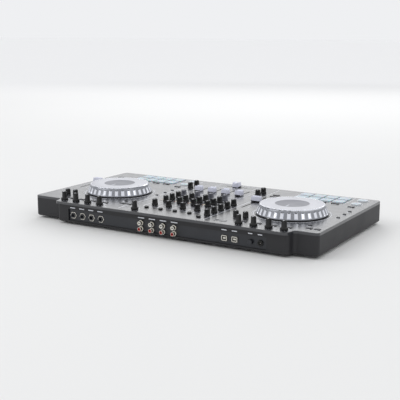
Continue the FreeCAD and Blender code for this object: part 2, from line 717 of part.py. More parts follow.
def knob_places():
    """Every knob: label, x, y and style. Small ones past the node limit share one node."""
    places = []
    for side, jog in JOG_X.items():
        for step in range(4):
            x = f"{jog} + Dim.fx_first + {step} * Dim.fx_pitch"
            places.append((f"effect_knob_{side}_{step + 1}", x, "Dim.fx_y", "effect"))
        for step, name in enumerate(("loop", "browse")):
            x = f"{jog} + Dim.loop_first + {step} * Dim.loop_pitch"
            places.append((f"small_{name}_{side}", x, "Dim.loop_y", "low"))
    rows = (("trim", "Dim.trim_y"), ("high", "Dim.high_y"), ("mid", "Dim.high_y - Dim.eq_pitch"),
            ("low", "Dim.high_y - 2 * Dim.eq_pitch"), ("small_filter", "Dim.filter_y"))
    for name, y in rows:
        for channel, x in CHANNELS.items():
            label = f"{name}_knob_{channel}"
            places.append((label, x, y, "channel"))
    names = ("booth_knob", "balance_knob", "fader_start_knob", "headphone_knob", "master_knob")
    for step, name in enumerate(names):
        places.append((name, "Dim.side_x", f"Dim.side_y + {step} * Dim.side_pitch", "channel"))
    places.append(("microphone_knob", "Dim.mic_x", "Dim.mic_y", "effect"))
    for side in (-1, 1):
        for step in (0, 1):
            y = f"Dim.monitor_y - {step} * Dim.monitor_pitch"
            places.append((f"small_monitor_{side + 1}_{step}", f"{side} * Dim.monitor_x", y, "channel"))
    return places


STYLES = {
    "effect": ("Dim.fx_height", "Dim.fx_skirt_radius", "Dim.fx_top_radius", "4.5"),
    "channel": ("Dim.knob_height", "Dim.knob_skirt_radius", "Dim.knob_top_radius", "2.6"),
    "low": ("Dim.loop_height", "Dim.loop_radius", "Dim.loop_radius - 0.6", "2.6"),
}


def all_knobs():
    """Turned knobs, one node each, and the small ones in one node. Returns shafts and holes."""
    small, shafts, holes = [], [], []
    for label, x, y, style in knob_places():
        height, skirt_radius, top_radius, skirt_height = STYLES[style]
        item = knob(label, x, y, height, skirt_radius, top_radius, skirt_height)
        if label.startswith("small_"):
            small.append(item)
        else:
            keep(item, label)
        shafts.append((x, y, height))
        holes.append(through("shaft_hole", "round", "Dim.shaft_radius + 0.5", x, y))
    keep(compound("small_knobs", small), "small_knobs")
    return shafts, holes


def all_faders():
    """Caps of the tempo sliders, channel faders and crossfader. Returns their slots."""
    slots = []
    for side, jog in JOG_X.items():
        x = f"{jog} + Dim.tempo_x"
        fader_cap(f"tempo_slider_{side}", x, "Dim.tempo_cap_y", "Dim.tempo_cap_width", "Dim.tempo_cap_depth")
        slots.append(("Dim.slot_width", "Dim.tempo_slot", x, "Dim.tempo_y"))
    for channel, x in CHANNELS.items():
        fader_cap(f"channel_fader_{channel}", x, "Dim.fader_cap_y", "Dim.fader_cap_width",
                  "Dim.fader_cap_depth")
        slots.append(("Dim.slot_width", "Dim.fader_slot", x, "Dim.fader_y"))
    fader_cap("crossfader", "0", "Dim.cross_y", "Dim.fader_cap_width", "Dim.fader_cap_depth", turn=90)
    slots.append(("Dim.cross_slot", "Dim.slot_width", "0", "Dim.cross_y"))
    return slots


def all_buttons():
    """Pads, play and cue, deck buttons and mixer buttons. Returns their windows."""
    openings = []
    for side, jog in JOG_X.items():
        openings += button_set(f"pads_{side}", [], pad_places(side), "Dim.pad_proud")
        rounds = [("Dim.play_radius", f"{jog} + Dim.play_x", y) for y in ("Dim.play_y", "Dim.cue_y")]
        openings += button_set(f"play_cue_{side}", rounds, [], "Dim.pad_proud")
        openings += button_set(f"deck_buttons_{side}", *button_places(side), "Dim.button_proud")
    rounds = [("4.4", x, "134") for x in CHANNELS.values()]
    rounds.append(("4.4", "Dim.side_x + 7", "152"))
    openings += button_set("mixer_buttons", rounds, [], "3.2")
    return openings


def check_and_write():
    """Stop on any failed object or bad shape, then write one STEP file for each sub-part."""
    doc.recompute()
    for item in doc.Objects:
        if "Invalid" in item.State or "Error" in item.State:
            raise RuntimeError(f"{item.Label} failed: {item.State}")
    os.makedirs("parts", exist_ok=True)
    for item in subparts:
        if item.Shape.isNull() or not item.Shape.isValid() or not item.Shape.Solids:
            raise RuntimeError(f"{item.Label} has no good solid")
        item.Shape.exportStep(f"parts/{item.Label}.step")
        print(item.Label, len(item.Shape.Solids), round(item.Shape.Volume / 1000, 2), "cm3")
    print(len(subparts), "sub-parts")


lower_case()
rubber_feet()
case_screws()
rear_sockets()
socket_panels()
power_button()
circuit_boards()
jog_bearings()
for deck in JOG_X:
    jog_wheel(deck)
knob_shafts, shaft_holes = all_knobs()
fader_slots = all_faders()
rotary_pots(knob_shafts)
fader_tracks(fader_slots)
post_holes = [through("post_hole", "round", "Dim.jog_post_radius + 1", x, "Dim.jog_y")
              for x in JOG_X.values()]
slot_holes = [through("fader_slot", "square", *slot) for slot in fader_slots]
top_panel(shaft_holes + post_holes + slot_holes + all_buttons())
check_and_write()
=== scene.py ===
# %% [markdown]
# # A four-channel DJ controller
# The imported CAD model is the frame: it already has the case, the controls and the joints.
# This lesson gives each part the surface and the small shapes that a hand and an eye expect:
# fluted rubber knobs, dimpled jog rims, a printed metal panel, plated sockets.

# %% Load the frame
import math

import bmesh
import bpy
from mathutils import Matrix, Vector


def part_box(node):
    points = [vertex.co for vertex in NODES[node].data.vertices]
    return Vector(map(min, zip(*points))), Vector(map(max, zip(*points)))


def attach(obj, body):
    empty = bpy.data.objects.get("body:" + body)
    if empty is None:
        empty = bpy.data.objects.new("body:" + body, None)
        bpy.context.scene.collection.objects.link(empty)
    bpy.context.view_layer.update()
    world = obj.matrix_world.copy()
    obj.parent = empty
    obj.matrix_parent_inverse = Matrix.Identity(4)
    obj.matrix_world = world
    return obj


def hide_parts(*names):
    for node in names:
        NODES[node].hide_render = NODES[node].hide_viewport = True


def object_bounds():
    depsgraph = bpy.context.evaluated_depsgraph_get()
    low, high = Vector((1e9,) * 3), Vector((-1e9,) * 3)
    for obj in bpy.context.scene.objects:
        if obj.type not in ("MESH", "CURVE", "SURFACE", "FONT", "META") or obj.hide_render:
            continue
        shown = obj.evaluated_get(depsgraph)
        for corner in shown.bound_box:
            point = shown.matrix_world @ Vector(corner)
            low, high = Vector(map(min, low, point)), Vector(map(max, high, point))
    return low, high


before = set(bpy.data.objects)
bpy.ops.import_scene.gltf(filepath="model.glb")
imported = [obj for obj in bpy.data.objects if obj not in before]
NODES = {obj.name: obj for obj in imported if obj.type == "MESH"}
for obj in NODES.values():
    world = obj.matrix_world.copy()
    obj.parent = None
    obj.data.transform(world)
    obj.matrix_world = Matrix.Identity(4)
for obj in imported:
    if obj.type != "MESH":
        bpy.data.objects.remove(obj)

CAD_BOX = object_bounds()
PANEL_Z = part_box("top_panel")[1].z
SIDES = ("left", "right")
CHANNELS = (1, 2, 3, 4)
print("CAD box", [tuple(round(v, 4) for v in corner) for corner in CAD_BOX])


def mm(value):
    """Millimetres to metres."""
    return value / 1000


def middle(node):
    """The middle of a CAD node, and its size."""
    low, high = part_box(node)
    return (low + high) / 2, high - low


# %% [markdown]
# ## Camera
# The camera comes first, so that every later piece can be judged from the same place. It stands
# behind the controller, on the performer's left and only a little above the panel, so the
# working surface is seen at a grazing angle. A long lens fills the frame with the object.

# %% Camera
CAMERA_PLACE = Vector((-0.874, 1.448, 0.401))
CAMERA_TARGET = Vector((0.006, 0.0, 0.046))
CAMERA_LENS = 73.0


def add_camera():
    data = bpy.data.cameras.new("camera")
    data.lens = CAMERA_LENS
    data.sensor_width = 36.0
    data.clip_start = 0.05
    camera = bpy.data.objects.new("camera", data)
    camera.location = CAMERA_PLACE
    camera.rotation_euler = (CAMERA_TARGET - CAMERA_PLACE).to_track_quat("-Z", "Y").to_euler()
    bpy.context.scene.collection.objects.link(camera)
    bpy.context.scene.camera = camera
    print("camera is", round((CAMERA_TARGET - CAMERA_PLACE).length, 3), "m away")


add_camera()

# %% [markdown]
# ## Floor and light
# A pale floor, painted paler with distance as painted light, and large soft lights, as in a product
# studio. A black satin panel seen at a low angle shows mostly what it reflects, so the pale
# surroundings matter more than the lamps: they turn the black paint into the soft grey that the eye
# expects. The plain Standard view keeps the pale surroundings near white and the black rubber
# black.

# %% Colour helper, floor, sky and lamps
def colour(code):
    """An sRGB hex code as linear red, green, blue and alpha."""
    channels = [int(code[i:i + 2], 16) / 255 for i in (1, 3, 5)]
    linear = [c / 12.92 if c <= 0.04045 else ((c + 0.055) / 1.055) ** 2.4 for c in channels]
    return (*linear, 1.0)


def add_node(tree, kind, inputs=None, **settings):
    """Add a node, set its properties, and fill its inputs with values or links."""
    made = tree.nodes.new(kind)
    for name, value in settings.items():
        setattr(made, name, value)
    for socket, value in (inputs or {}).items():
        if isinstance(value, bpy.types.NodeSocket):
            tree.links.new(value, made.inputs[socket])
        else:
            made.inputs[socket].default_value = value
    return made


FLOOR_REACH = 30.0
PAINTED_LIGHT_FROM = 2.8
PAINTED_LIGHT_BY = 5.2


def paper_floor_with_painted_light():
    """Matt paper with painted light: it pales with distance, so that the floor meets the sky
    without a line.
    """
    material = bpy.data.materials.new("matt paper floor, painted paler far off")
    material.use_nodes = True
    tree = material.node_tree
    shader = tree.nodes["Principled BSDF"]
    shader.inputs["Roughness"].default_value = 0.85
    place = add_node(tree, "ShaderNodeTexCoord").outputs["Object"]
    distance = add_node(tree, "ShaderNodeVectorMath", {0: place},
                        operation="LENGTH").outputs["Value"]
    # Painted light: from 2.8 m to 5.2 m out the floor is painted paler, where the lamps leave the
    # far floor darker.
    painted_light_fade = add_node(tree, "ShaderNodeMapRange",
                    {"Value": distance, "From Min": PAINTED_LIGHT_FROM, "From Max": PAINTED_LIGHT_BY},
                    interpolation_type="SMOOTHSTEP").outputs["Result"]
    tint = add_node(tree, "ShaderNodeMix",
                    {"Factor": painted_light_fade, "A": colour("#e6e6e5"), "B": colour("#fdfdfd")},
                    data_type="RGBA").outputs["Result"]
    tree.links.new(tint, shader.inputs["Base Color"])
    return material


def add_floor():
    shape = bmesh.new()
    bmesh.ops.create_grid(shape, x_segments=1, y_segments=1, size=FLOOR_REACH)
    mesh = bpy.data.meshes.new("floor")
    shape.to_mesh(mesh)
    shape.free()
    mesh.materials.append(paper_floor_with_painted_light())
    floor = bpy.data.objects.new("floor", mesh)
    floor.location.z = CAD_BOX[0].z
    bpy.context.scene.collection.objects.link(floor)


def add_sky(code, strength):
    world = bpy.data.worlds.new("studio")
    world.use_nodes = True
    background = world.node_tree.nodes["Background"]
    background.inputs["Color"].default_value = colour(code)
    background.inputs["Strength"].default_value = strength
    bpy.context.scene.world = world


LAMP_TARGET = Vector((0, 0, 0.05))


def add_softbox(name, place, size, power):
    data = bpy.data.lights.new(name, "AREA")
    data.shape = "RECTANGLE"
    data.size, data.size_y = size
    data.energy = power
    lamp = bpy.data.objects.new(name, data)
    lamp.location = place
    aim = LAMP_TARGET - Vector(place)
    lamp.rotation_euler = aim.to_track_quat("-Z", "Y").to_euler()
    bpy.context.scene.collection.objects.link(lamp)


bpy.context.scene.view_settings.view_transform = "Standard"
add_floor()
add_sky("#f8f9fb", 0.92)
add_softbox("key softbox", (1.6, 1.5, 1.7), (1.4, 1.0), 12)
add_softbox("fill softbox", (-2.0, 0.4, 1.5), (1.6, 1.2), 4)
add_softbox("back softbox", (1.2, -3.2, 1.9), (3.5, 1.3), 30)
print("softboxes:", len(bpy.data.lights))

# %% [markdown]
# ## Materials
# Every finish is a Principled shader with three layers of detail on Object coordinates: a slow
# drift of colour, a drift of roughness such as handling leaves, and a fine bump from how the
# surface was made. One function lays these down, and special finishes add to it.

# %% A finish with colour drift, roughness drift and grain
def new_finish(name, base, accent, roughness, metallic=0.0, ior=1.5, drift=40, grain=0.6,
               depth=0.02, stretch=(1, 1, 1)):
    """drift, grain and the height of the grain, depth, are in millimetres."""
    material = bpy.data.materials.new(name)
    material.use_nodes = True
    tree = material.node_tree
    shader = tree.nodes["Principled BSDF"]
    shader.inputs["Metallic"].default_value = metallic
    if metallic < 0.5:
        shader.inputs["IOR"].default_value = ior
    place = add_node(tree, "ShaderNodeTexCoord").outputs["Object"]
    slow = add_node(tree, "ShaderNodeTexNoise",
                    {"Vector": place, "Scale": 1 / mm(drift), "Detail": 4.0}).outputs["Fac"]
    tint = add_node(tree, "ShaderNodeMix",
                    {"Factor": slow, "A": colour(base), "B": colour(accent)}, data_type="RGBA")
    tree.links.new(tint.outputs["Result"], shader.inputs["Base Color"])
    low, high = roughness
    handled = add_node(tree, "ShaderNodeTexNoise",
                       {"Vector": place, "Scale": 2.3 / mm(drift), "Detail": 6.0}).outputs["Fac"]
    wear = add_node(tree, "ShaderNodeMapRange",
                    {"Value": handled, "From Min": 0.3, "From Max": 0.7,
                     "To Min": low, "To Max": high})
    tree.links.new(wear.outputs["Result"], shader.inputs["Roughness"])
    stretched = add_node(tree, "ShaderNodeMapping", {"Vector": place, "Scale": stretch})
    fine = add_node(tree, "ShaderNodeTexNoise",
                    {"Vector": stretched.outputs["Vector"], "Scale": 1 / mm(grain), "Detail": 3.0})
    bump = add_node(tree, "ShaderNodeBump",
                    {"Height": fine.outputs["Fac"], "Strength": 0.6, "Distance": mm(depth)})
    tree.links.new(bump.outputs["Normal"], shader.inputs["Normal"])
    return material


def shader_of(material):
    return material.node_tree.nodes["Principled BSDF"]


# %% [markdown]
# Moulded ABS has a spark-eroded grain that scatters its highlight. Real grain is about 0.3 mm
# across; here it is drawn at 0.9 mm, so that it still shows at this distance.

# %% Moulded plastics
CASE_ABS = new_finish("moulded ABS, black grain", "#19191c", "#1c1c20", (0.48, 0.54), drift=90,
                      grain=0.9, depth=0.05)
BUTTON_ABS = new_finish("moulded ABS, dark satin", "#202226", "#2b2d33", (0.30, 0.42), grain=0.5)
JOG_ABS = new_finish("painted ABS, silver grey", "#85878d", "#96989e", (0.24, 0.36),
                     metallic=0.5, drift=25, grain=0.4, depth=0.008)
CAP_ABS = new_finish("moulded ABS, pale lavender", "#c9cbdb", "#d9dbe8", (0.22, 0.36),
                     drift=12, grain=0.4, depth=0.008)
CAP_FOOT_ABS = new_finish("moulded ABS, cap foot", "#15151a", "#24242b", (0.30, 0.45), grain=0.5)
PALE_ABS = new_finish("moulded ABS, pale button", "#c3c9cf", "#d4dade", (0.20, 0.32),
                      drift=15, grain=0.5)
GLOSS_ABS = new_finish("polished ABS, black", "#08080a", "#0d0d10", (0.06, 0.14),
                       drift=30, depth=0.004)
print("hard plastics:", len(bpy.data.materials) - 1)

# %% [markdown]
# Rubber and silicone are softer to the eye: rougher, and on the pads a little light passes into
# the surface and comes out again nearby, which is what subsurface scattering stands for.

# %% Rubbers and silicone
KNOB_RUBBER = new_finish("soft-touch elastomer, black", "#0c0c0d", "#151516", (0.50, 0.68),
                         drift=9, grain=0.5, depth=0.03)
GREY_RUBBER = new_finish("soft-touch elastomer, grey", "#5f6068", "#6e6f78", (0.45, 0.62),
                         drift=9, grain=0.5, depth=0.03)
FOOT_RUBBER = new_finish("moulded rubber, feet", "#141414", "#1d1c1b", (0.70, 0.88),
                         drift=10, grain=0.7, depth=0.06)
PAD_SILICONE = new_finish("frosted silicone, pads", "#aab7c0", "#bccad2", (0.38, 0.52),
                          drift=14, grain=0.6, depth=0.03, ior=1.43)
shader_of(PAD_SILICONE).inputs["Subsurface Weight"].default_value = 0.25
shader_of(PAD_SILICONE).inputs["Subsurface Scale"].default_value = mm(3)
shader_of(GLOSS_ABS).inputs["Coat Weight"].default_value = 0.5
PRINT_INK = new_finish("screen-printed ink, pale grey", "#d5d8e0", "#e6e8ee", (0.50, 0.62),
                       drift=8, grain=0.3, depth=0.01)
INSULATOR_WHITE = new_finish("socket insulator, white", "#d8d6cf", "#e6e4de", (0.3, 0.4), drift=6)
INSULATOR_RED = new_finish("socket insulator, red", "#a3201c", "#b62a25", (0.3, 0.4), drift=6)
FELT = new_finish("dust felt, black", "#0b0b0c", "#161617", (0.9, 1.0),
                  drift=4, grain=0.3, depth=0.1)
SOCKET_DARK = new_finish("socket well, black nylon", "#050505", "#0a0a0b", (0.5, 0.6), drift=6)
print("finishes so far:", len(bpy.data.materials) - 1)

# %% [markdown]
# Metals keep the default index of refraction. The plated ones differ mostly in how far the
# highlight spreads: nickel is nearly a mirror, zinc is dull and slightly yellow.

# %% Metals and the circuit board
NICKEL = new_finish("nickel plate", "#cfccc4", "#dedbd3", (0.12, 0.24),
                    metallic=1.0, drift=8, depth=0.003)
ZINC = new_finish("zinc-plated steel", "#a9a8a1", "#bdbbb2", (0.30, 0.48),
                  metallic=1.0, drift=5, depth=0.01)
DIMPLE_CHROME = new_finish("vacuum-plated ABS, dimples", "#d9dbe2", "#eceef4", (0.10, 0.20),
                           metallic=1.0, drift=20, depth=0.003)
SOLDER_MASK = new_finish("solder mask, green", "#0d4a24", "#12602f", (0.18, 0.30),
                         drift=18, grain=2.0, depth=0.03)
print("with metals and the board:", len(bpy.data.materials) - 1)


# %% [markdown]
# The top panel is sheet metal: brushed across its width, painted satin black, screen printed and
# sealed with clear lacquer. The brushing survives the thin paint as long streaks, so the grain is
# stretched along X, and the same streaks modulate the roughness, which breaks the grazing
# reflection into lines. The lacquer is the shader's coat, and mirrors the pale room at low angles.

# %% Painted, brushed panel
def painted_panel():
    material = new_finish("brushed sheet, satin black paint", "#27282c", "#313237", (0.26, 0.36),
                          drift=60, grain=0.8, depth=0.012, stretch=(0.02, 1.0, 1.0))
    tree = material.node_tree
    shader = shader_of(material)
    place = add_node(tree, "ShaderNodeTexCoord").outputs["Object"]
    long = add_node(tree, "ShaderNodeMapping", {"Vector": place, "Scale": (0.03, 1.0, 1.0)})
    streaks = add_node(tree, "ShaderNodeTexNoise",
                       {"Vector": long.outputs["Vector"], "Scale": 1 / mm(2.2), "Detail": 5.0})
    spread = add_node(tree, "ShaderNodeMapRange",
                      {"Value": streaks.outputs["Fac"], "From Min": 0.3, "From Max": 0.7,
                       "To Min": 0.28, "To Max": 0.38})
    tree.links.new(spread.outputs["Result"], shader.inputs["Roughness"])
    shader.inputs["Coat Weight"].default_value = 0.75
    shader.inputs["Coat Roughness"].default_value = 0.22
    return material


PANEL_PAINT = painted_panel()
print("panel finish:", PANEL_PAINT.name)


# %% [markdown]
# A jog plate is turned on a lathe, so its marks are circles about its own middle. The pattern
# needs the distance from that middle: a Mapping node moves the jog's centre to the origin, and
# a ring wave reads the distance. The two plates have different centres, so each has its own.

# %% Turned plates
def turned_metal(name, base, accent, centre, ring_pitch, roughness, metallic):
    material = new_finish(name, base, accent, roughness, metallic=metallic, drift=50, depth=0.002)
    tree = material.node_tree
    place = add_node(tree, "ShaderNodeTexCoord").outputs["Object"]
    moved = add_node(tree, "ShaderNodeMapping",
                     {"Vector": place, "Location": (-centre.x, -centre.y, 0)})
    rings = add_node(tree, "ShaderNodeTexWave",
                     {"Vector": moved.outputs["Vector"], "Scale": 0.314 / mm(ring_pitch),
                      "Distortion": 0.0, "Detail": 1.0},
                     wave_type="RINGS", rings_direction="Z")
    bump = add_node(tree, "ShaderNodeBump",
                    {"Height": rings.outputs["Fac"], "Strength": 0.2, "Distance": mm(0.01)})
    tree.links.new(bump.outputs["Normal"], shader_of(material).inputs["Normal"])
    return material


# %% [markdown]
# ## Tools for shapes
# Small helpers over Blender's own mesh operators. A lathe spins a profile, a slab is a cube whose
# corners and rim are bevelled, and a stamp copies a finished template to a new place, because
# each piece keeps its place in its mesh.

# %% Lathe, slab, bevel, stamp
def spun(profile, steps):
    """A closed solid of revolution about Z, from radius and height pairs in millimetres."""
    shape = bmesh.new()
    verts = [shape.verts.new((mm(radius), 0, mm(height))) for radius, height in profile]
    edges = [shape.edges.new(pair) for pair in zip(verts, verts[1:])]
    bmesh.ops.spin(shape, geom=verts + edges, cent=(0, 0, 0), axis=(0, 0, 1), dvec=(0, 0, 0),
                   angle=math.tau, steps=steps, use_merge=True, use_duplicate=False)
    bmesh.ops.remove_doubles(shape, verts=shape.verts, dist=1e-6)
    bmesh.ops.recalc_face_normals(shape, faces=shape.faces)
    return shape


def soften(shape, width, angle):
    """Bevel every edge that is sharper than the angle in degrees. width is in millimetres."""
    edges = [edge for edge in shape.edges
             if len(edge.link_faces) == 2 and edge.calc_face_angle(0) > math.radians(angle)]
    bmesh.ops.bevel(shape, geom=edges, offset=mm(width), offset_type="OFFSET", segments=2,
                    profile=0.5, affect="EDGES", clamp_overlap=True, material=-1)


def slab(width, depth, height, corner=0.0, rim=0.0, corner_steps=4):
    """A box on the origin, with rounded upright corners and a rounded top rim."""
    shape = bmesh.new()
    bmesh.ops.create_cube(shape, size=1.0)
    bmesh.ops.scale(shape, vec=(mm(width), mm(depth), mm(height)), verts=shape.verts)
    bmesh.ops.translate(shape, vec=(0, 0, mm(height) / 2), verts=shape.verts)
    if corner:
        upright = [e for e in shape.edges if abs(e.verts[0].co.z - e.verts[1].co.z) > 1e-6]
        bmesh.ops.bevel(shape, geom=upright, offset=mm(corner), offset_type="OFFSET",
                        segments=corner_steps, profile=0.5, affect="EDGES", material=-1)
    if rim:
        top = mm(height) - 1e-6
        edge_loop = [e for e in shape.edges if all(v.co.z > top for v in e.verts)]
        bmesh.ops.bevel(shape, geom=edge_loop, offset=mm(rim), offset_type="OFFSET", segments=3,
                        profile=0.5, affect="EDGES", material=-1)
    return shape


def template(shape, name):
    """Keep a shape as mesh data that can be stamped many times."""
    mesh = bpy.data.meshes.new(name)
    shape.to_mesh(mesh)
    shape.free()
    return mesh


def stamp(target, mesh, place, turn=None):
    """Copy a template into a shape. place is in metres."""
    copy = mesh.copy()
    matrix = Matrix.Translation(place)
    if turn is not None:
        matrix = matrix @ turn
    copy.transform(matrix)
    target.from_mesh(copy)
    bpy.data.meshes.remove(copy)


# %% [markdown]
# A finished shape becomes a piece: it gets its materials and its smooth shading, it rides on a
# body of the CAD model, and it hides the plain CAD node that it stands for. Faces that meet at
# more than the smooth angle keep a crisp edge between them.

# %% Pieces and their finishes
def add_piece(shape, name, body, materials, stands_for=(), smooth=32):
    """Turn a shape into a piece that rides on a body and may stand for CAD nodes."""
    mesh = bpy.data.meshes.new(name)
    shape.to_mesh(mesh)
    shape.free()
    for material in materials:
        mesh.materials.append(material)
    mesh.shade_smooth()
    mesh.set_sharp_from_angle(angle=math.radians(smooth))
    piece = bpy.data.objects.new(name, mesh)
    bpy.context.scene.collection.objects.link(piece)
    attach(piece, body)
    if stands_for:
        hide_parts(*stands_for)
    return piece


def dress(node, material):
    """Give a CAD node its finish."""
    slots = NODES[node].data.materials
    slots.clear()
    slots.append(material)


def tinted(shape, index, choose):
    """Give the chosen faces another material."""
    for face in shape.faces:
        if choose(face):
            face.material_index = index


# %% [markdown]
# ## Case, panel and what is inside
# These CAD nodes have the right shape already, so they only need their finishes.

# %% Dress the CAD nodes
CAD_FINISHES = {
    "lower_case": CASE_ABS, "top_panel": PANEL_PAINT, "jog_bearings": GLOSS_ABS,
    "circuit_boards": SOLDER_MASK, "rotary_pots": ZINC, "fader_tracks": ZINC,
    "socket_panels": BUTTON_ABS}
for cad_node, cad_finish in CAD_FINISHES.items():
    dress(cad_node, cad_finish)
print("dressed CAD nodes:", len(CAD_FINISHES))

# %% [markdown]
# ## Knobs
# A knob is a turned body with flutes for the fingertips. The body is spun with two steps for
# each flute, and every second face of the grip is inset and pushed in. A raised pointer line
# shows where it is set. The effect knobs have a wide skirt; the channel knobs are shorter.

# %% Knob templates
FLUTES = 22
SHAFT_GAP = 3.05
KNOB_LIFT = 0.5


def knob_shape(height, skirt, grip, skirt_height, name):
    """Sizes in millimetres. The knob stands on the panel surface at the origin."""
    deep = height - 3.6
    low_grip = skirt_height + 1.2
    shape = spun((
        (0, height - 0.35), (grip - 1.9, height - 0.35), (grip - 1.5, height), (grip - 0.9, height),
        (grip - 0.2, height - 0.5), (grip, height - 1.3), (grip + 0.45, low_grip),
        (grip + 0.9, skirt_height + 0.35), (skirt - 0.5, skirt_height), (skirt, skirt_height - 0.5),
        (skirt, KNOB_LIFT + 0.3), (skirt - 0.3, KNOB_LIFT), (SHAFT_GAP, KNOB_LIFT),
        (SHAFT_GAP, deep), (0, deep)), 2 * FLUTES)
    inner, outer = mm(grip - 0.4), mm(grip + 0.6)
    band = [face for face in shape.faces
            if abs(face.normal.z) < 0.3 and face.calc_center_median().z > mm(low_grip)
            and inner < face.calc_center_median().xy.length < outer]
    band.sort(key=lambda face: math.atan2(*face.calc_center_median().xy))
    bmesh.ops.inset_individual(shape, faces=band[::2], thickness=mm(0.16), depth=mm(-0.32))
    line = slab(1.0, grip - 0.6, 0.55, corner=0.2, rim=0.1, corner_steps=2)
    bmesh.ops.translate(line, vec=(0, mm(grip / 2 - 0.1), mm(height - 0.4)), verts=line.verts)
    tinted(line, 1, lambda face: True)
    mark = template(line, f"{name} pointer")
    stamp(shape, mark, Vector((0, 0, 0)))
    return template(shape, name)


def node_middle_xy(node):
    centre = middle(node)[0]
    return Vector((centre.x, centre.y, PANEL_Z))


KNOB = {
    "effect": knob_shape(18, 7.5, 4.8, 4.5, "effect knob"),
    "channel": knob_shape(13, 6.6, 5.4, 2.6, "channel knob"),
    "small": knob_shape(12, 5.8, 5.2, 2.6, "small knob"),
}
print("knob faces:", {kind: len(mesh.polygons) for kind, mesh in KNOB.items()})


def add_knob(node):
    kind = "effect" if node.startswith(("effect", "microphone")) else "channel"
    shape = bmesh.new()
    stamp(shape, KNOB[kind], node_middle_xy(node))
    add_piece(shape, f"{node}_fluted", node, [KNOB_RUBBER, PRINT_INK], [node])


TURNING_KNOBS = sorted(name for name in NODES if "_knob" in name and name != "small_knobs")
for knob_node in TURNING_KNOBS:
    add_knob(knob_node)
print("turning knobs:", len(TURNING_KNOBS))

# %% [markdown]
# The smallest knobs share one CAD node, so their places are read from its separate solids. Those
# are found by walking along edges from vertex to vertex, and are sorted, so that every run gives
# the same order. The filter row at the foot of the channel columns is grey, the others black.

# %% Small knobs
FILTER_ROW_Y = -7
WIDE_KNOB = 12.5


def solid_boxes(node):
    """The lowest and highest corner of each separate solid of a node."""
    shape = bmesh.new()
    shape.from_mesh(NODES[node].data)
    bmesh.ops.remove_doubles(shape, verts=shape.verts, dist=1e-5)
    left = set(shape.verts)
    boxes = []
    while left:
        stack = [left.pop()]
        group = []
        while stack:
            vert = stack.pop()
            group.append(vert.co.copy())
            for edge in vert.link_edges:
                other = edge.other_vert(vert)
                if other in left:
                    left.remove(other)
                    stack.append(other)
        low = [min(point[axis] for point in group) for axis in range(3)]
        high = [max(point[axis] for point in group) for axis in range(3)]
        boxes.append((Vector(low), Vector(high)))
    shape.free()
    return sorted(boxes, key=lambda box: [round(value, 5) for value in (*box[0], *box[1])])


def add_small_knobs():
    black = bmesh.new()
    grey = bmesh.new()
    boxes = solid_boxes("small_knobs")
    for low, high in boxes:
        spot = Vector(((low.x + high.x) / 2, (low.y + high.y) / 2, PANEL_Z))
        is_filter = abs(spot.y - mm(FILTER_ROW_Y)) < mm(2)
        wide = high.x - low.x > mm(WIDE_KNOB)
        stamp(grey if is_filter else black, KNOB["channel" if wide else "small"], spot)
    add_piece(black, "small_knobs_black", "case", [KNOB_RUBBER, PRINT_INK],
              ["small_knobs"])
    add_piece(grey, "small_knobs_grey", "case", [GREY_RUBBER, PRINT_INK],
              ["small_knobs"])
    print("small knobs:", len(boxes))


add_small_knobs()

# %% [markdown]
# ## Jog wheels
# The rim slopes inwards and carries a row of plated dimples for the fingers. It is spun with
# four faces to each dimple, and two of the four are inset together, pushed in and given the
# bright finish. The plate on top is a pale turned ring round a darker disc with a marker line.

# %% Jog rims and plates
DIMPLES = 32


def jog_centre(side):
    centre = middle(f"jog_rim_{side}")[0]
    return Vector((centre.x, centre.y, PANEL_Z))


def add_rim(side):
    centre = jog_centre(side)
    shape = spun((
        (22, 1.7), (70.4, 1.7), (71, 2.3), (71, 3.4), (70.5, 4.4), (65.8, 15.6), (65.6, 16.4),
        (65.2, 17.2), (64.4, 18.6), (22, 18.6), (22, 1.7)), DIMPLES * 4)
    slope = [face for face in shape.faces if mm(6) < face.calc_center_median().z < mm(14)
             and face.calc_center_median().xy.length > mm(60)]
    slope.sort(key=lambda face: math.atan2(*face.calc_center_median().xy))
    dimples = [face for index, face in enumerate(slope) if index % 4 in (0, 1)]
    pushed = bmesh.ops.inset_region(shape, faces=dimples, thickness=mm(1.3), depth=mm(-1.1),
                                    use_even_offset=True, use_boundary=True)
    bright = set(pushed["faces"]) | set(dimples)
    tinted(shape, 1, lambda face: face in bright)
    bmesh.ops.translate(shape, vec=centre, verts=shape.verts)
    print(side, "rim faces:", len(shape.faces))
    add_piece(shape, f"jog_rim_{side}_dimpled", f"jog_{side}",
              [JOG_ABS, DIMPLE_CHROME], [f"jog_rim_{side}"], smooth=24)


DISC_RADIUS = 33.4
EDGE_RADIUS = 61.8


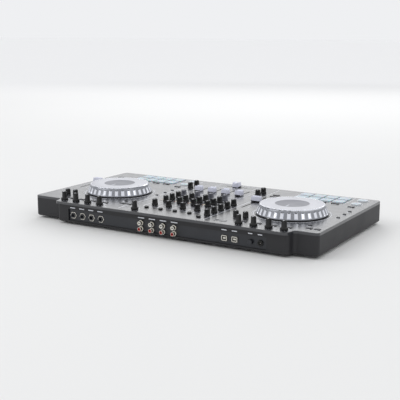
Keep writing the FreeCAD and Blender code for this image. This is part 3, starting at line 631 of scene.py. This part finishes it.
def add_plate(side):
    centre = jog_centre(side)
    shape = spun((
        (0, 20.4), (33.2, 20.4), (33.6, 20.55), (33.9, 20.9), (34.3, 21.0), (61.6, 21.0),
        (62.0, 20.85), (62.6, 20.85), (62.9, 20.9), (63.5, 20.6), (64, 20.0), (64, 18.62),
        (14, 18.62), (14, 4), (8.05, 4), (8.05, 18.2), (0, 18.2)), 128)
    tinted(shape, 1, lambda face: face.calc_center_median().xy.length < mm(DISC_RADIUS)
           and face.calc_center_median().z > mm(20))
    tinted(shape, 2, lambda face: face.calc_center_median().xy.length > mm(EDGE_RADIUS)
           and face.calc_center_median().z > mm(19))
    line = slab(2.0, 15, 0.5, corner=0.9, rim=0.1, corner_steps=3)
    tinted(line, 3, lambda face: True)
    stamp(shape, template(line, "jog marker"), Vector((0, mm(22), mm(19.98))))
    bmesh.ops.translate(shape, vec=centre, verts=shape.verts)
    ring = turned_metal(f"turned and anodised ring, {side}", "#b3b4ba", "#bfc0c6", centre, 0.9,
                        (0.42, 0.50), 0.35)
    disc = turned_metal(f"turned grey disc, {side}", "#7b7c83", "#86878e", centre, 0.7,
                        (0.50, 0.58), 0.2)
    add_piece(shape, f"jog_plate_{side}_turned", f"jog_{side}",
              [ring, disc, DIMPLE_CHROME, PRINT_INK], [f"jog_plate_{side}"], smooth=24)


for jog_side in SIDES:
    add_rim(jog_side)
    add_plate(jog_side)

# %% [markdown]
# ## Fader caps
# A cap is drawn from the side as an outline with a finger valley, given its width by an
# extrusion, and bevelled. Its foot is dark, the rest is pale, and a dark line marks the middle
# of the valley.

# %% Caps
CAP_TOP = 12.0


def cap_shape(width, depth, name):
    half, top = depth / 2, CAP_TOP
    outline = ((-half, 0.5), (half, 0.5), (half, 3.0), (half - 1.7, top - 0.6),
               (half - 2.3, top), (half - 3.2, top), (2.2, top - 2.1), (0.8, top - 2.6),
               (-0.8, top - 2.6), (-2.2, top - 2.1), (-half + 3.2, top), (-half + 2.3, top),
               (-half + 1.7, top - 0.6), (-half, 3.0))
    shape = bmesh.new()
    verts = [shape.verts.new((mm(-width / 2), mm(y), mm(z))) for y, z in outline]
    side = shape.faces.new(verts)
    grown = bmesh.ops.extrude_face_region(shape, geom=[side])
    moved = [item for item in grown["geom"] if isinstance(item, bmesh.types.BMVert)]
    bmesh.ops.translate(shape, vec=(mm(width), 0, 0), verts=moved)
    bmesh.ops.recalc_face_normals(shape, faces=shape.faces)
    soften(shape, 0.5, 50)
    bmesh.ops.recalc_face_normals(shape, faces=shape.faces)
    tinted(shape, 1,
           lambda face: face.calc_center_median().z < mm(3.2) or face.normal.z < -0.5)
    line = slab(width - 1.6, 0.9, 0.3, rim=0.08)
    tinted(line, 2, lambda face: True)
    stamp(shape, template(line, f"{name} line"), Vector((0, 0, mm(top - 2.72))))
    stem = slab(1.6, 6, 9, corner=0.3, corner_steps=2)
    tinted(stem, 3, lambda face: True)
    stamp(shape, template(stem, f"{name} stem"), Vector((0, 0, mm(-8))))
    return template(shape, name)


CAPS = {"wide": cap_shape(20, 13, "tempo cap"), "deep": cap_shape(14, 17, "fader cap")}
QUARTER_TURN = Matrix.Rotation(math.radians(90), 4, "Z")


def add_cap(node, kind, turn=None):
    shape = bmesh.new()
    stamp(shape, CAPS[kind], node_middle_xy(node), turn)
    add_piece(shape, f"{node}_cap", node,
              [CAP_ABS, CAP_FOOT_ABS, CAP_FOOT_ABS, ZINC], [node], smooth=28)


for cap_side in SIDES:
    add_cap(f"tempo_slider_{cap_side}", "wide")
for channel in CHANNELS:
    add_cap(f"channel_fader_{channel}", "deep")
add_cap("crossfader", "deep", QUARTER_TURN)
print("cap faces:", {kind: len(mesh.polygons) for kind, mesh in CAPS.items()})

# %% [markdown]
# ## Pads and buttons
# Every cap's outline is read from its CAD solid, so it always fits its window. A pad is a thick
# silicone slab with a soft rim; small buttons are crisper. Of the others, a cap as deep as it is
# wide is a round one, and is spun.

# %% Button shapes from the CAD solids
def round_cap(radius, height, top_material):
    """A spun cap with a shallow dish, which has its own material."""
    cap = spun((
        (0, height - 0.25), (radius * 0.72, height - 0.25), (radius * 0.76, height),
        (radius - 0.5, height), (radius - 0.1, height - 0.35), (radius, height - 0.9),
        (radius, 0), (0, 0)), 40)
    tinted(cap, top_material, lambda face: face.normal.z > 0.9 and
           face.calc_center_median().xy.length < mm(radius * 0.7))
    return cap


def add_caps(node, name, materials, corner, rim, top_material=0):
    """One piece with a cap for each solid of the node."""
    shape = bmesh.new()
    boxes = solid_boxes(node)
    for low, high in boxes:
        size = (high - low) * 1000
        spot = Vector(((low.x + high.x) / 2, (low.y + high.y) / 2, low.z))
        if abs(size.x - size.y) < 0.2 and not node.startswith("pads"):
            cap = round_cap(size.x / 2, size.z, top_material)
        else:
            cap = slab(size.x, size.y, size.z, corner=corner, rim=rim)
        stamp(shape, template(cap, "cap"), spot)
    print(node, "caps:", len(boxes))
    add_piece(shape, name, node, materials, [node])


for button_side in SIDES:
    add_caps(f"pads_{button_side}", f"pads_{button_side}_silicone",
             [PAD_SILICONE], 2.0, 0.8)
    add_caps(f"play_cue_{button_side}", f"play_cue_{button_side}_caps",
             [PALE_ABS, PAD_SILICONE], 1.0, 0.4, 1)
    add_caps(f"deck_buttons_{button_side}", f"deck_buttons_{button_side}_caps",
             [BUTTON_ABS, PALE_ABS], 0.8, 0.35, 0)
add_caps("mixer_buttons", "mixer_buttons_caps",
         [KNOB_RUBBER, BUTTON_ABS], 0.8, 0.35, 1)

# %% [markdown]
# ## Printing
# The print is real ink: a film a few hundredths of a millimetre thick. It could be a pattern in
# the panel's material, but each mark is a very thin slab instead, so its edges stay crisp from
# any angle. One class collects them all in one shape.

# %% Printed marks
INK = 0.06


class Ink:
    """Collects thin marks on the panel. Positions and sizes are in millimetres."""

    def __init__(self):
        self.shape = bmesh.new()

    def bar(self, x, y, width, depth, turn=0.0):
        made = bmesh.ops.create_cube(self.shape, size=1.0)
        place = Matrix.Translation((mm(x), mm(y), PANEL_Z + mm(INK / 2)))
        size = Matrix.Diagonal((mm(width), mm(depth), mm(INK), 1))
        bmesh.ops.transform(self.shape, matrix=place @ Matrix.Rotation(turn, 4, "Z") @ size,
                            verts=made["verts"])

    def ticks(self, x, y, radius, count, first, last, width=0.6, depth=2.0):
        for index in range(count):
            angle = math.radians(first + (last - first) * index / (count - 1))
            self.bar(x + radius * math.sin(angle), y + radius * math.cos(angle),
                     width, depth, -angle)

    def arc(self, x, y, radius, first, last, width=0.5):
        """An arc laid down as short bars that meet end to end."""
        count = max(6, int(abs(last - first) / 3))
        step = math.radians((last - first) / count)
        for index in range(count):
            angle = math.radians(first) + step * (index + 0.5)
            self.bar(x + radius * math.sin(angle), y + radius * math.cos(angle),
                     radius * abs(step) * 1.01, width, -angle)

    def frame(self, x, y, width, depth, line=0.5):
        for side in (-1, 1):
            self.bar(x, y + side * depth / 2, width + line, line)
            self.bar(x + side * width / 2, y, line, depth)


# %% [markdown]
# Tick rings go round the knobs and the jog wheels, scales beside the faders, frames round the
# sections, and plain bars where a real panel has words. A scale is its first mark, its pitch and
# its number of marks, and every fifth or fourth mark is longer, as on a ruler.

# %% Marks for each kind of control
TURN_LIMIT = 150
CHANNEL_SCALE = (-114, 6, 11)
TEMPO_SCALE = (-73.6, 6.25, 17)
CROSS_SCALE = (-22.5, 5.625, 9)
COLUMN_PITCH = 34
MIXER_WIDTH = 136
MIXER_ROWS = (123, 85, -20)
DECK_DIVIDERS = (-101.5, 98.3)


def xy_mm(node):
    centre = middle(node)[0] * 1000
    return centre.x, centre.y


def print_knobs(ink):
    for node in TURNING_KNOBS:
        x, y = xy_mm(node)
        wide = node.startswith(("effect", "microphone"))
        ink.ticks(x, y, 10.2 if wide else 9.2, 11, -TURN_LIMIT, TURN_LIMIT)
        ink.bar(x, y - (12.2 if wide else 11.2), 8, 2.0)
    for low, high in solid_boxes("small_knobs"):
        x, y = (low.x + high.x) * 500, (low.y + high.y) * 500
        ink.ticks(x, y, 8.6, 7, -TURN_LIMIT, TURN_LIMIT)
        ink.bar(x, y - 10.6, 7, 1.8)


def print_faders(ink):
    first, pitch, count = CHANNEL_SCALE
    for channel in CHANNELS:
        x = xy_mm(f"channel_fader_{channel}")[0]
        for step in range(count):
            for side in (-1, 1):
                ink.bar(x + side * 10.2, first + step * pitch, 3.4 if step % 5 == 0 else 2.2, 0.6)
    first, pitch, count = TEMPO_SCALE
    for side_name in SIDES:
        x = xy_mm(f"tempo_slider_{side_name}")[0]
        for step in range(count):
            ink.bar(x - 12.6, first + step * pitch, 4.0 if step % 4 == 0 else 2.4, 0.6)
    first, pitch, count = CROSS_SCALE
    y = xy_mm("crossfader")[1]
    for step in range(count):
        for side in (-1, 1):
            ink.bar(first + step * pitch, y + side * 10.4, 0.6, 3.4 if step % 4 == 0 else 2.2)


def print_decks(ink):
    for side_name in SIDES:
        centre = jog_centre(side_name) * 1000
        ink.arc(centre.x, centre.y, 76, -140, 140, 1.2)
        ink.ticks(centre.x, centre.y, 79, 57, -140, 140, 0.7, 2.4)
        ink.frame(centre.x + 6, -137.5, 121, 66, 0.9)
        for low, high in solid_boxes(f"deck_buttons_{side_name}"):
            x, y = (low.x + high.x) * 500, (low.y + high.y) * 500
            ink.bar(x, y + (high.y - low.y) * 500 + 2.6, 8, 1.8)
        low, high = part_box(f"play_cue_{side_name}")
        for y in (low.y * 1000 + 10.5, high.y * 1000 - 10.5):
            ink.arc((low.x + high.x) * 500, y, 12.4, 0, 360, 0.6)


def print_mixer(ink):
    for step in range(-2, 3):
        ink.bar(step * COLUMN_PITCH, 50, 0.9, 142)
    for y in MIXER_ROWS:
        ink.bar(0, y, MIXER_WIDTH, 1.0)
    ink.frame(0, -84, MIXER_WIDTH, 92, 1.0)
    ink.frame(0, -152, 96, 34, 1.0)
    for x in DECK_DIVIDERS:
        ink.bar(x, 0, 1.2, 330)


def add_print():
    ink = Ink()
    print_knobs(ink)
    print_faders(ink)
    print_decks(ink)
    print_mixer(ink)
    print("printed faces:", len(ink.shape.faces))
    add_piece(ink.shape, "panel_print", "case", [PRINT_INK])


add_print()

# %% [markdown]
# ## Slots, meters and a patch of painted shade
# Felt strips close each fader slot round its stem. Between the channel strips stand level meters:
# a polished strip with a ladder of unlit segments.

# %% Felt, meters and a patch of painted shade
FELT_OFFSET = 1.28
FELT_DEPTH = 1.5


def add_felt():
    """Two strips a slot. Each slot has its node, its middle, its length and if it runs along X."""
    shape = bmesh.new()
    slots = [(f"channel_fader_{channel}", -84, 66, False) for channel in CHANNELS]
    slots += [(f"tempo_slider_{side_name}", -23.6, 110, False) for side_name in SIDES]
    slots.append(("crossfader", 0, 52, True))
    for node, along, length, across in slots:
        x, y = xy_mm(node)
        for side in (-FELT_OFFSET, FELT_OFFSET):
            size = (length, 0.6) if across else (0.6, length)
            strip = template(slab(*size, 1.2, rim=0.15), "felt strip")
            spot = (along, y + side) if across else (x + side, along)
            stamp(shape, strip, Vector((mm(spot[0]), mm(spot[1]), PANEL_Z - mm(FELT_DEPTH))))
    print("felt strips:", 2 * len(slots))
    add_piece(shape, "fader_felt", "case", [FELT])


def led_finish(name, base, accent):
    return new_finish(name, base, accent, (0.12, 0.2), drift=5, depth=0.002)


def segment_template(index):
    shape = slab(3.4, 2.6, 0.16, corner=0.4, rim=0.05, corner_steps=2)
    tinted(shape, index, lambda face: True)
    return template(shape, "meter segment")


def add_meters():
    strip = template(slab(5.2, 46, 0.4, corner=0.8, rim=0.12), "meter strip")
    green = led_finish("unlit LED, green", "#7d9a86", "#8eab97")
    amber = led_finish("unlit LED, amber", "#b09a66", "#c0aa76")
    red = led_finish("unlit LED, red", "#a1605c", "#b06e6a")
    segments = [segment_template(1)] * 7 + [segment_template(2)] * 2 + [segment_template(3)]
    shape = bmesh.new()
    for column in (-1, 0, 1, 2):
        x = column * COLUMN_PITCH
        stamp(shape, strip, Vector((mm(x), mm(37), PANEL_Z)))
        for level, segment in enumerate(segments):
            stamp(shape, segment, Vector((mm(x), mm(17.5 + level * 4.3), PANEL_Z + mm(0.36))))
    print("meter segments:", 4 * len(segments))
    add_piece(shape, "level_meters", "case", [GLOSS_ABS, green, amber, red])


# Painted shade: a thin blue-black slab near the rear edge darkens the panel where a bluish shadow
# lies.
def add_painted_shade_patch():
    shape = slab(26, 9, 0.5, corner=1.5, rim=0.2)
    bmesh.ops.translate(shape, vec=(mm(-133), mm(155), PANEL_Z), verts=shape.verts)
    shade_finish = new_finish("painted shade, blue-black", "#0c1420", "#111c2c", (0.05, 0.10),
                       drift=20, depth=0.002)
    add_piece(shape, "display_window", "case", [shade_finish])


add_felt()
add_meters()
add_painted_shade_patch()

# %% [markdown]
# ## Sockets
# The moulded socket panels keep their CAD shape. Each jack barrel gets a plated hexagon nut. A
# phono socket is a nickel barrel with a coloured insulator, white above and red below, and the
# data sockets are square shells with a tongue.

# %% Socket shapes
LOOK_BACK = Matrix.Rotation(math.radians(-90), 4, "X")
LOOK_FRONT = Matrix.Rotation(math.radians(90), 4, "X")


def phono_template(insulator_index):
    shape = spun((
        (0, 4.0), (1.5, 4.0), (1.6, 10.2), (3.2, 10.2), (3.35, 11.0), (3.95, 11.0), (4.15, 10.7),
        (4.15, 4.4), (5.1, 4.4), (5.35, 4.1), (5.35, 0.1), (4.15, 0.05), (4.15, -9), (0, -9)), 36)
    tinted(shape, insulator_index, lambda face: face.normal.z > 0.9 and
           mm(1.55) < face.calc_center_median().xy.length < mm(3.25))
    tinted(shape, 3, lambda face: face.calc_center_median().xy.length < mm(1.58)
           and face.calc_center_median().z > 0)
    return template(shape, "phono socket")


def usb_template():
    shape = slab(12, 10.5, 16, corner=0.4, corner_steps=2)
    mouth = [face for face in shape.faces if face.normal.z > 0.9]
    bmesh.ops.inset_region(shape, faces=mouth, thickness=mm(1.5), depth=0.0, use_even_offset=True)
    bmesh.ops.inset_region(shape, faces=mouth, thickness=mm(0.05), depth=mm(-10),
                           use_even_offset=True)
    tongue = template(slab(5.6, 3.2, 9, corner=0.3, corner_steps=2), "data tongue")
    tinted(shape, 3, lambda face: face in mouth)
    stamp(shape, tongue, Vector((0, 0, mm(6))))
    bmesh.ops.translate(shape, vec=(0, 0, mm(-16)), verts=shape.verts)
    return template(shape, "data socket")


def inlet_template():
    shape = spun((
        (0, -1.5), (0.6, -1.5), (1.0, -2.2), (1.0, -10), (2.8, -10), (2.8, -0.4), (3.2, 0),
        (5.2, 0), (5.5, -0.3), (5.5, -14), (0, -14)), 32)
    tinted(shape, 3, lambda face: mm(1.2) < face.calc_center_median().xy.length < mm(5.6))
    return template(shape, "power inlet")


# %% [markdown]
# The shapes above point up, so a quarter turn about X lays them down to look backwards or
# forwards. Each then goes to its place, which is given in millimetres along the wall.

# %% Put the sockets in their panels
SOCKET_Z = 21
WALL_Y = 170.5
PANEL_Y = 167.5
REAR_JACKS = (142, 166, 190, 214)
HEADPHONE_JACK = (-290, -175.5)
PHONO_COLUMNS = (-39, -13, 13, 39)
PHONO_RISE = 6
DATA_SOCKETS = (-172, -150)
INLET_X = -225
POWER_X = -205
CAPTION_Z = 37


def wall_place(x, y, z=SOCKET_Z):
    return Vector((mm(x), mm(y), mm(z)))


def add_rear_sockets():
    shape = bmesh.new()
    pair = {PHONO_RISE: phono_template(1), -PHONO_RISE: phono_template(2)}
    for x in PHONO_COLUMNS:
        for rise, mesh in pair.items():
            stamp(shape, mesh, wall_place(x, PANEL_Y, SOCKET_Z + rise), LOOK_BACK)
    data = usb_template()
    for x in DATA_SOCKETS:
        stamp(shape, data, wall_place(x, WALL_Y), LOOK_BACK)
    stamp(shape, inlet_template(), wall_place(INLET_X, WALL_Y), LOOK_BACK)
    print("rear socket faces:", len(shape.faces))
    add_piece(shape, "rear_sockets_plated", "case",
              [NICKEL, INSULATOR_WHITE, INSULATOR_RED, SOCKET_DARK], ["rear_sockets"])


def add_jack_nuts():
    nut = template(spun((
        (6.4, 0), (8.2, 0), (8.2, 1.0), (7.7, 1.5), (6.4, 1.5), (6.4, 0)), 6), "jack nut")
    shape = bmesh.new()
    for x in REAR_JACKS:
        stamp(shape, nut, wall_place(x, PANEL_Y), LOOK_BACK)
    stamp(shape, nut, wall_place(*HEADPHONE_JACK), LOOK_FRONT)
    add_piece(shape, "jack_nuts", "case", [NICKEL], smooth=20)


def add_rear_print():
    """Plain bars above the rear sockets, where the wall has its captions."""
    shape = bmesh.new()
    captions = [(x, 13) for x in REAR_JACKS] + [(x, 15) for x in PHONO_COLUMNS]
    captions += [(x, 11) for x in DATA_SOCKETS] + [(x, 9) for x in (POWER_X, INLET_X)]
    for x, width in captions:
        bar = template(slab(width, 1.8, INK), "caption")
        stamp(shape, bar, wall_place(x, WALL_Y, CAPTION_Z), LOOK_BACK)
    print("rear captions:", len(captions))
    add_piece(shape, "rear_print", "case", [PRINT_INK])


def add_power_button():
    shape = spun((
        (0, 9.7), (3.2, 9.7), (3.5, 10), (4.1, 10), (4.5, 9.6), (4.5, 0), (0, 0)), 32)
    low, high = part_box("power_button")
    spot = Vector(((low.x + high.x) / 2, low.y, (low.z + high.z) / 2))
    bmesh.ops.transform(shape, matrix=Matrix.Translation(spot) @ LOOK_BACK, verts=shape.verts)
    add_piece(shape, "power_button_cap", "power_button", [BUTTON_ABS],
              ["power_button"])


add_rear_sockets()
add_jack_nuts()
add_rear_print()
add_power_button()

# %% [markdown]
# ## Underside
# The rubber feet have a soft rim and a sunk middle, and the case screws have a cross recess.

# %% Feet and screws
def stamped_at_solids(node, mesh):
    """A shape with a copy of the template at the bottom middle of each solid of the node."""
    shape = bmesh.new()
    boxes = solid_boxes(node)
    for low, high in boxes:
        stamp(shape, mesh, Vector(((low.x + high.x) / 2, (low.y + high.y) / 2, low.z)))
    print(node, len(boxes))
    return shape


def add_feet():
    foot = spun((
        (0, 1.2), (5.5, 1.2), (6.0, 0.9), (6.6, 0.1), (7.2, 0), (11.0, 0), (11.7, 0.5),
        (12, 1.4), (12, 5), (0, 5)), 48)
    shape = stamped_at_solids("rubber_feet", template(foot, "foot"))
    add_piece(shape, "rubber_feet_moulded", "case", [FOOT_RUBBER], ["rubber_feet"])


def add_screws():
    head = spun((
        (0, 2.5), (3.2, 2.5), (3.2, 1.0), (2.8, 0.35), (2.0, 0.05), (1.9, 0.0), (0, 0)), 24)
    cross = [face for face in head.faces if face.normal.z < -0.9 and
             face.calc_center_median().z < mm(0.02)]
    cross.sort(key=lambda face: math.atan2(*face.calc_center_median().xy))
    bmesh.ops.inset_region(head, faces=cross[::6], thickness=mm(0.1), depth=mm(-0.9),
                           use_even_offset=True)
    shape = stamped_at_solids("case_screws", template(head, "screw head"))
    add_piece(shape, "case_screws_crosshead", "case", [ZINC], ["case_screws"])


add_feet()
add_screws()

# %% Remove the unused templates
# The stamped templates have done their work, so they are removed.
for leftover in [mesh for mesh in bpy.data.meshes if not mesh.users]:
    bpy.data.meshes.remove(leftover)
